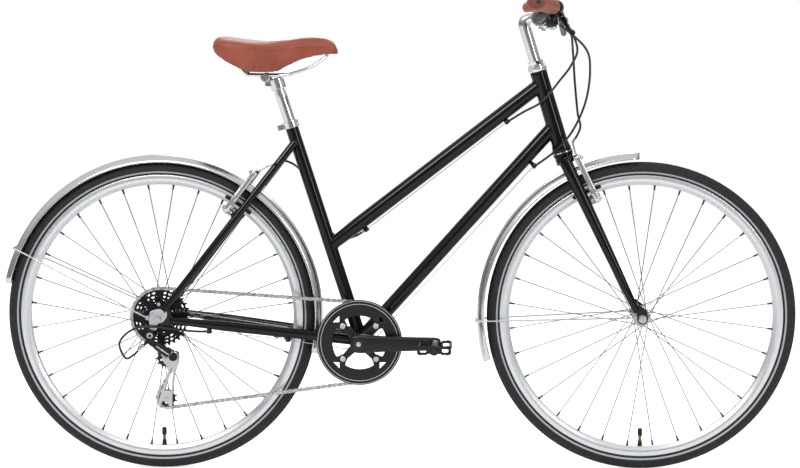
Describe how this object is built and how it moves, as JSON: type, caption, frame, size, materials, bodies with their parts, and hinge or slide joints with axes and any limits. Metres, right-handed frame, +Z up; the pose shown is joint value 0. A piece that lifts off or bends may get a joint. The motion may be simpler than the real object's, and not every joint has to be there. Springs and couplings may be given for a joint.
{
  "type": "hybrid bike",
  "caption": "Step-through hybrid bike with a derailleur, V-brakes, mudguards, swept handlebar and tan saddle and grips; it rolls, steers, pedals, brakes and shifts.",
  "frame": {"origin": "on the ground below the middle of the bike's length, in its plane of symmetry", "axes": "+X forward, +Y to the rider's left, +Z up; the drive side faces -Y"},
  "size_m": [1.7736, 0.6276, 1.056],
  "materials": {
    "frame_paint": "gloss black enamel",
    "black_alloy": "semi-matt black anodised",
    "chrome": "bright chrome plate",
    "polished_aluminium": "polished",
    "satin_aluminium": "satin anodised",
    "rim_aluminium": "satin anodised with a machined brake track",
    "hub_steel": "bright zinc",
    "plated_steel": "zinc plated",
    "chain_steel": "oiled steel",
    "tyre_rubber": "matt black rubber with a reflecting ring",
    "tan_leather": "rose-brown synthetic leather",
    "cable_housing": "black plastic sleeve"
  },
  "bodies": {
    "frame": {"head_tube": "frame_paint", "top_tube": "frame_paint", "down_tube": "frame_paint", "seat_tube": "frame_paint", "bottom_bracket_shell": "frame_paint", "bottom_bracket_cartridge": "black_alloy", "chainstay_right": "frame_paint", "chainstay_left": "frame_paint", "seatstay_right": "frame_paint", "seatstay_left": "frame_paint", "seat_clamp": "chrome", "rear_axle": "plated_steel", "rear_fender": "polished_aluminium", "rear_fender_stays": "plated_steel", "chain": "chain_steel", "headset_upper_cup": "chrome", "headset_lower_cup": "chrome", "derailleur_knuckle": "black_alloy", "rear_brake_cable": "cable_housing", "shift_cable": "cable_housing"},
    "seatpost": {"seatpost": "chrome", "saddle_clamp": "chrome"},
    "saddle": {"saddle_rails": "chrome", "saddle": "tan_leather"},
    "rear_wheel": {"rear_tyre": "tyre_rubber", "rear_rim": "rim_aluminium", "rear_hub": "hub_steel"},
    "cassette": {"cassette": "black_alloy"},
    "steering": {"fork": "frame_paint", "front_axle": "plated_steel", "headset_locknut": "chrome", "stem": "chrome", "handlebar": "black_alloy", "grip_right": "tan_leather", "grip_left": "tan_leather", "brake_mount_right": "black_alloy", "brake_mount_left": "black_alloy", "front_fender": "polished_aluminium", "front_fender_stays": "plated_steel", "front_brake_cable": "cable_housing"},
    "front_wheel": {"front_tyre": "tyre_rubber", "front_rim": "rim_aluminium", "front_hub": "hub_steel"},
    "brake_lever_right": {"brake_lever_right": "black_alloy"},
    "brake_lever_left": {"brake_lever_left": "black_alloy"},
    "shift_lever": {"shift_lever": "chrome"},
    "brake_arm_front_right": {"brake_arm_front_right": "polished_aluminium"},
    "brake_arm_front_left": {"brake_arm_front_left": "polished_aluminium"},
    "brake_arm_rear_right": {"brake_arm_rear_right": "polished_aluminium"},
    "brake_arm_rear_left": {"brake_arm_rear_left": "polished_aluminium"},
    "crank": {"crank_right": "black_alloy", "chainring": "black_alloy", "crank_left": "black_alloy"},
    "pedal_right": {"pedal_right": "black_alloy"},
    "pedal_left": {"pedal_left": "black_alloy"},
    "derailleur_link": {"derailleur_link": "black_alloy"},
    "derailleur_arm": {"derailleur_arm": "black_alloy"},
    "derailleur_cage": {"derailleur_cage": "satin_aluminium"},
    "guide_pulley": {"guide_pulley": "black_alloy"},
    "tension_pulley": {"tension_pulley": "black_alloy"}
  },
  "joints": [
    {"name": "steering_turn", "type": "hinge", "parent": "frame", "child": "steering", "pos_m": [0.36308, 0, 0.71518], "axis": [-0.2924, 0, 0.9563], "range_deg": [-70, 70], "deforming": ["rear_brake_cable", "shift_cable"]},
    {"name": "front_wheel_spin", "type": "hinge", "parent": "steering", "child": "front_wheel", "pos_m": [0.54079, 0, 0.346], "axis": [0, 1, 0], "continuous": true},
    {"name": "rear_wheel_spin", "type": "hinge", "parent": "frame", "child": "rear_wheel", "pos_m": [-0.53341, 0, 0.346], "axis": [0, 1, 0], "continuous": true},
    {"name": "crank_spin", "type": "hinge", "parent": "frame", "child": "crank", "pos_m": [-0.08761, 0, 0.2925], "axis": [0, 1, 0], "continuous": true, "deforming": ["chain"]},
    {"name": "cassette_spin", "type": "hinge", "parent": "frame", "child": "cassette", "pos_m": [-0.53341, 0, 0.346], "axis": [0, 1, 0], "continuous": true},
    {"name": "pedal_right_spin", "type": "hinge", "parent": "crank", "child": "pedal_right", "pos_m": [0.08189, -0.125, 0.2925], "axis": [0, 1, 0], "continuous": true},
    {"name": "pedal_left_spin", "type": "hinge", "parent": "crank", "child": "pedal_left", "pos_m": [-0.25711, 0.125, 0.2925], "axis": [0, 1, 0], "continuous": true},
    {"name": "seatpost_height", "type": "slide", "parent": "frame", "child": "seatpost", "axis": [-0.304, 0, 0.9527], "range_m": [-0.07, 0.05]},
    {"name": "saddle_tilt", "type": "hinge", "parent": "seatpost", "child": "saddle", "pos_m": [-0.29544, 0, 0.87891], "axis": [0, 1, 0], "range_deg": [-12, 12]},
    {"name": "brake_lever_right_pull", "type": "hinge", "parent": "steering", "child": "brake_lever_right", "pos_m": [0.3588, -0.14, 1.00848], "axis": [-0.766, 0, -0.6428], "range_deg": [0, 16], "stiffness_Nm_per_rad": 1.5, "springref_deg": -14.32, "deforming": ["rear_brake_cable"]},
    {"name": "brake_lever_left_pull", "type": "hinge", "parent": "steering", "child": "brake_lever_left", "pos_m": [0.3588, 0.14, 1.00848], "axis": [0.766, 0, 0.6428], "range_deg": [0, 16], "stiffness_Nm_per_rad": 1.5, "springref_deg": -14.32, "deforming": ["front_brake_cable"]},
    {"name": "brake_arm_front_right_swing", "type": "hinge", "parent": "steering", "child": "brake_arm_front_right", "pos_m": [0.4333, -0.04, 0.60935], "axis": [-0.9022, 0, -0.4313], "range_deg": [0, 4.01]},
    {"name": "brake_arm_front_left_swing", "type": "hinge", "parent": "steering", "child": "brake_arm_front_left", "pos_m": [0.4333, 0.04, 0.60935], "axis": [0.9022, 0, 0.4313], "range_deg": [0, 4.01]},
    {"name": "brake_arm_rear_right_swing", "type": "hinge", "parent": "frame", "child": "brake_arm_rear_right", "pos_m": [-0.37717, -0.04, 0.58428], "axis": [-0.7889, 0, 0.6146], "range_deg": [0, 4.01]},
    {"name": "brake_arm_rear_left_swing", "type": "hinge", "parent": "frame", "child": "brake_arm_rear_left", "pos_m": [-0.37717, 0.04, 0.58428], "axis": [0.7889, 0, -0.6146], "range_deg": [0, 4.01]},
    {"name": "shift_lever_push", "type": "hinge", "parent": "steering", "child": "shift_lever", "pos_m": [0.33558, -0.163, 0.98988], "axis": [0, 0, -1], "range_deg": [0, 45]},
    {"name": "derailleur_link_swing", "type": "hinge", "parent": "frame", "child": "derailleur_link", "pos_m": [-0.54411, -0.0828, 0.2956], "axis": [-0.6721, 0, -0.7404], "range_deg": [0, 38.2]},
    {"name": "derailleur_arm_shift", "type": "slide", "parent": "frame", "child": "derailleur_arm", "axis": [0.1443, -0.9895, 0], "range_m": [0, 0.034], "deforming": ["chain", "shift_cable"]},
    {"name": "derailleur_cage_swing", "type": "hinge", "parent": "derailleur_arm", "child": "derailleur_cage", "pos_m": [-0.50351, -0.03, 0.2591], "axis": [0, 1, 0], "range_deg": [0, 20.1]},
    {"name": "guide_pulley_spin", "type": "hinge", "parent": "derailleur_cage", "child": "guide_pulley", "pos_m": [-0.52251, -0.03, 0.2521], "axis": [0, 1, 0], "continuous": true},
    {"name": "tension_pulley_spin", "type": "hinge", "parent": "derailleur_cage", "child": "tension_pulley", "pos_m": [-0.52121, -0.03, 0.1628], "axis": [0, 1, 0], "continuous": true}
  ],
  "couplings": [
    {"joint": "cassette_spin", "follows": "crank_spin", "ratio": 1.375},
    {"joint": "guide_pulley_spin", "follows": "crank_spin", "ratio": -4},
    {"joint": "tension_pulley_spin", "follows": "crank_spin", "ratio": 4},
    {"joint": "brake_arm_front_right_swing", "follows": "brake_lever_left_pull", "ratio": 0.25},
    {"joint": "brake_arm_front_left_swing", "follows": "brake_lever_left_pull", "ratio": 0.25},
    {"joint": "brake_arm_rear_right_swing", "follows": "brake_lever_right_pull", "ratio": 0.25},
    {"joint": "brake_arm_rear_left_swing", "follows": "brake_lever_right_pull", "ratio": 0.25},
    {"joint": "shift_lever_push", "follows": "derailleur_arm_shift", "rad_per_m": 23.1},
    {"joint": "derailleur_link_swing", "follows": "derailleur_arm_shift", "rad_per_m": 19.556},
    {"joint": "derailleur_cage_swing", "follows": "derailleur_arm_shift", "rad_per_m": 10.266}
  ]
}
